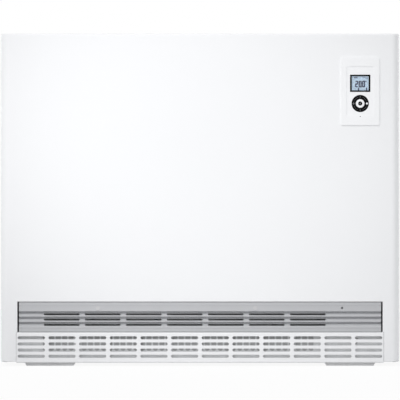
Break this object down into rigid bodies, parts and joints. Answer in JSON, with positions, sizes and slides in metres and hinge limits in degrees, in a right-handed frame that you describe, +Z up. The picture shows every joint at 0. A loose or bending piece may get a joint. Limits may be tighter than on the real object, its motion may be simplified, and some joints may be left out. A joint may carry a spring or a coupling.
{
  "type": "storage heater",
  "caption": "Low white floor-standing storage heater with a brick core, a cross-flow fan behind a slotted grille, and a display with a rocking ring and middle button.",
  "frame": {"origin": "centre of the footprint, on the floor plane under the feet", "axes": "+X along the width, from the plain side to the control unit's side; the front faces -Y; +Z up"},
  "size_m": [0.78, 0.25, 0.65],
  "materials": {
    "white_enamel": "satin white powder coat",
    "galvanised": "bare galvanised sheet",
    "grey_enamel": "matt grey powder coat",
    "foot_grey": "grey paint",
    "insulation": "pressed microporous board",
    "wool": "mineral wool mat",
    "brick": "dark iron-oxide storage brick",
    "element_steel": "sheathed element, heat stained",
    "bush_ceramic": "glazed ceramic",
    "brass": "bare brass",
    "bright_steel": "zinc-plated steel",
    "wheel_aluminium": "mill finish",
    "lamination": "lacquered electrical sheet",
    "coil_tape": "taped winding",
    "rubber_black": "black rubber",
    "bimetal": "bimetal strip",
    "white_plastic": "satin white moulding",
    "black_plastic": "glossy black moulding",
    "window_clear": "clear window",
    "display_glass": "backlit liquid-crystal panel",
    "grey_plastic": "grey moulding",
    "keypad_rubber": "grey silicone rubber",
    "board_green": "lacquered circuit board",
    "terminal_ivory": "ivory moulding",
    "red_plastic": "red moulding",
    "lead_brown": "silicone-sleeved lead"
  },
  "bodies": {
    "casing": {"front_panel": "white_enamel", "side_panel_left": "white_enamel", "side_panel_right": "white_enamel", "rear_panel": "galvanised", "top_cover": "white_enamel", "base_pan": "galvanised", "foot_left": "foot_grey", "foot_right": "foot_grey", "air_outlet_grille": "grey_enamel", "intake_strip": "white_enamel", "intake_screen": "galvanised", "inner_front_panel": "galvanised", "inner_side_left": "galvanised", "bay_partition": "galvanised", "core_deck": "galvanised", "insulation_floor": "insulation", "insulation_front": "insulation", "insulation_rear": "insulation", "insulation_left": "insulation", "insulation_right": "insulation", "insulation_top": "insulation", "insulation_mat": "wool", "storage_bricks": "brick", "heating_elements": "element_steel", "element_bushes": "bush_ceramic", "element_studs": "brass", "core_sensor": "bright_steel", "fan_scroll": "galvanised", "air_guide": "galvanised", "fan_end_plate_left": "galvanised", "fan_end_plate_right": "galvanised", "fan_end_bearing": "rubber_black", "motor_stator": "lamination", "motor_coil": "coil_tape", "motor_bridges": "bright_steel", "bimetal_strip": "bimetal", "control_bezel": "white_plastic", "display_frame": "black_plastic", "display_window": "window_clear", "display_module": "display_glass", "key_frame": "black_plastic", "button_mat": "keypad_rubber", "control_board": "board_green", "control_back": "grey_plastic", "charge_controller": "grey_plastic", "mains_terminals": "terminal_ivory", "safety_cutout": "black_plastic", "cable_grommet": "rubber_black", "power_leads": "lead_brown", "room_sensor": "bush_ceramic", "screws": "bright_steel"},
    "ring_frame": {"ring_gimbal": "bright_steel"},
    "ring": {"control_ring": "black_plastic"},
    "button": {"middle_button": "white_plastic", "button_cap": "black_plastic"},
    "fan": {"fan_wheel": "wheel_aluminium", "fan_shaft": "bright_steel", "motor_rotor": "lamination"},
    "damper": {"air_damper": "galvanised"},
    "reset": {"reset_button": "red_plastic"}
  },
  "joints": [
    {"name": "ring_pitch", "type": "hinge", "parent": "casing", "child": "ring_frame", "pos_m": [0.3135, -0.12025, 0.5133], "axis": [1, 0, 0], "range_deg": [-3, 3], "stiffness_Nm_per_rad": 0.6},
    {"name": "ring_yaw", "type": "hinge", "parent": "ring_frame", "child": "ring", "pos_m": [0.3135, -0.12025, 0.5133], "axis": [0, 0, 1], "range_deg": [-3, 3], "stiffness_Nm_per_rad": 0.6},
    {"name": "button_press", "type": "slide", "parent": "casing", "child": "button", "axis": [0, 1, 0], "range_m": [0, 0.0008], "stiffness_N_per_m": 1200, "springref_m": -0.0004},
    {"name": "fan_spin", "type": "hinge", "parent": "casing", "child": "fan", "pos_m": [0, 0.06, 0.0562], "axis": [1, 0, 0], "continuous": true},
    {"name": "damper_swing", "type": "hinge", "parent": "casing", "child": "damper", "pos_m": [0, 0.0215, 0.119], "axis": [-1, 0, 0], "range_deg": [0, 45]},
    {"name": "reset_press", "type": "slide", "parent": "casing", "child": "reset", "axis": [-1, 0, 0], "range_m": [0, 0.001], "stiffness_N_per_m": 800, "springref_m": -0.0005}
  ]
}
